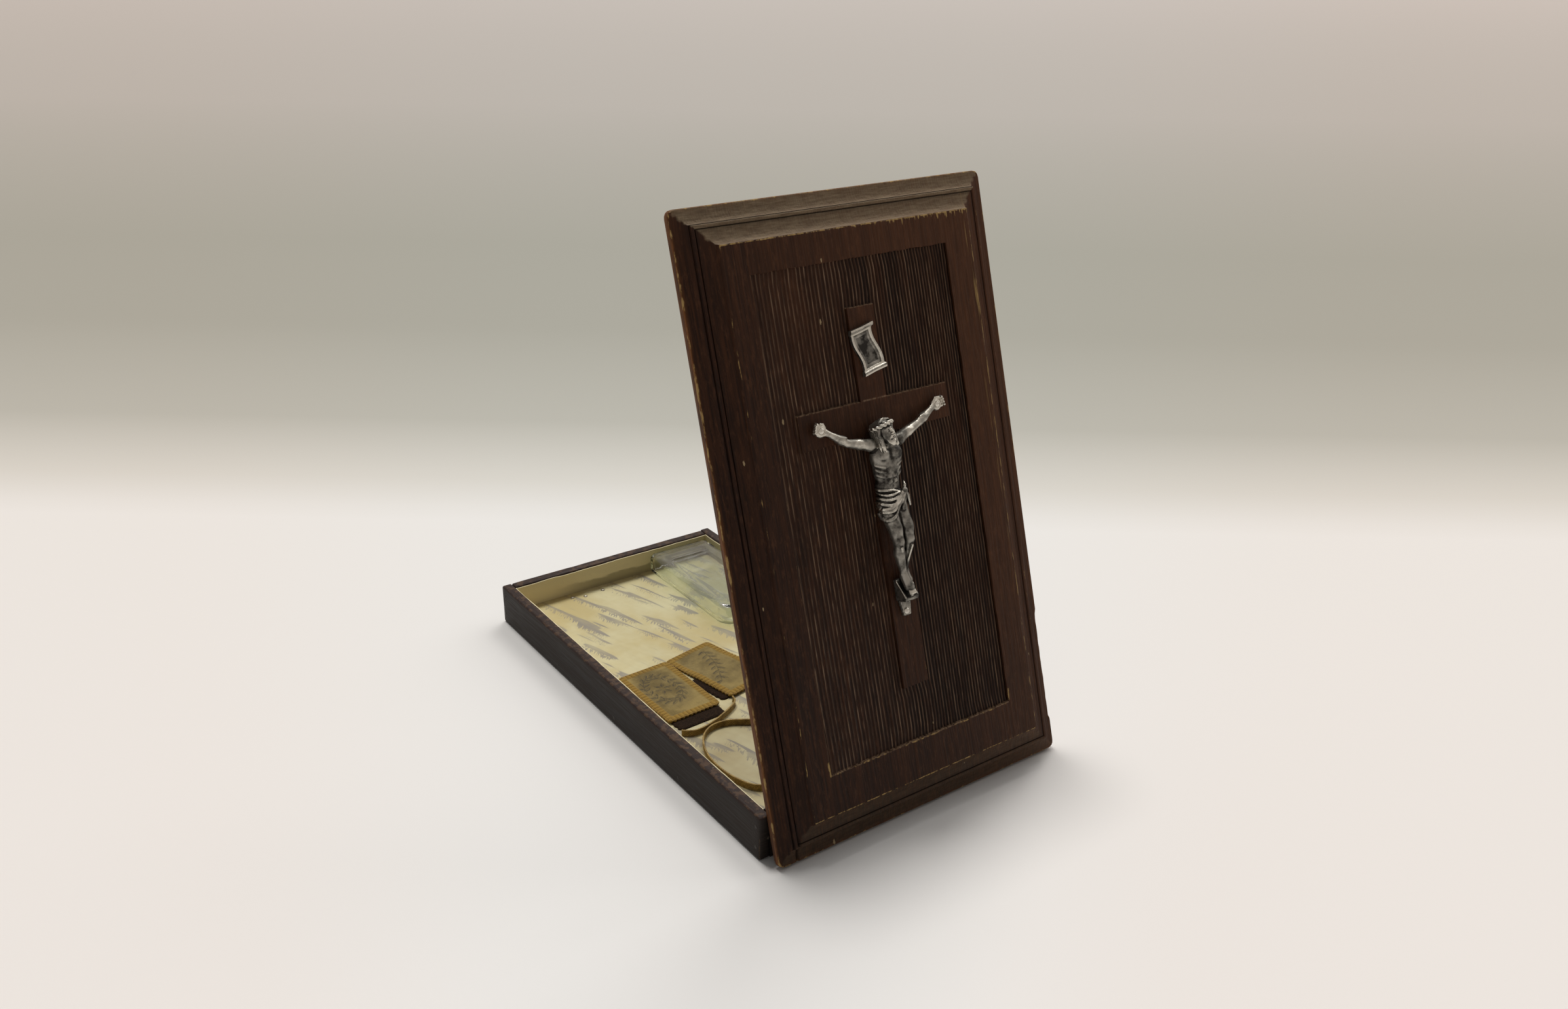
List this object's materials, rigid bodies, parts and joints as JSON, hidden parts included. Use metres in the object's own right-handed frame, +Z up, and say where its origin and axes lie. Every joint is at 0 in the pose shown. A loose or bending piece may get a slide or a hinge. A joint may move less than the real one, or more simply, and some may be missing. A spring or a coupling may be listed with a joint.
{
  "type": "viaticum box",
  "caption": "Lined wooden sick-call box standing open: a moulded lid with a raised cross and cast figure is hinged to a shallow tray that holds a flat glass bottle and a cloth scapular.",
  "frame": {"origin": "centre of the tray's underside, on the table", "axes": "+X across the tray, +Y from the hinge end to the far end, +Z up; the lid is stored standing open"},
  "size_m": [0.1414, 0.2261, 0.2249],
  "materials": {
    "wood_tray": "dark stained softwood, worn, satin",
    "brads": "stained iron brads, flush",
    "lining": "cream olive printed moire paper, matte",
    "tacks": "bright round heads",
    "glass": "clear, faintly green, moulded",
    "cork": "cork, matte",
    "wool": "dark brown woollen cloth",
    "cloth": "tan cotton with a sepia print and blanket stitched edges",
    "tape": "golden woven tape",
    "hinge_iron": "dull iron wire",
    "wood_lid": "dark brown stained fir with raised grain, worn edges",
    "silver": "aged silver plate with dark patina",
    "nails": "domed pin heads, dulled"
  },
  "bodies": {
    "tray": {"tray_bottom": "wood_tray", "tray_left_side": "wood_tray", "tray_right_side": "wood_tray", "tray_far_end": "wood_tray", "tray_near_end": "wood_tray", "corner_brads": "brads", "bottom_brad_set": "brads", "floor_lining": "lining", "left_lining": "lining", "right_lining": "lining", "far_lining": "lining", "near_lining": "lining", "lining_tacks": "tacks", "bottle": "glass", "left_wool": "wool", "left_cloth": "cloth", "right_wool": "wool", "right_cloth": "cloth", "short_tape": "tape", "loop_tape": "tape", "tray_eyes": "hinge_iron"},
    "stopper": {"bottle_stopper": "cork"},
    "rod": {"hinge_rod": "hinge_iron"},
    "lid": {"lid_eyes": "hinge_iron", "lid_board": "wood_lid", "corpus_figure": "silver", "figure_nails": "nails", "scroll_plate": "silver"}
  },
  "joints": [
    {"name": "lid_slip", "type": "slide", "parent": "tray", "child": "rod", "axis": [1, 0, 0], "range_m": [-0.014, 0]},
    {"name": "lid_hinge", "type": "hinge", "parent": "rod", "child": "lid", "pos_m": [0.014, -0.1075, 0.019], "axis": [1, 0, 0], "range_deg": [-72.5, 0]},
    {"name": "stopper_pull", "type": "slide", "parent": "tray", "child": "stopper", "axis": [0, -1, 0], "range_m": [0, 0.01]}
  ]
}
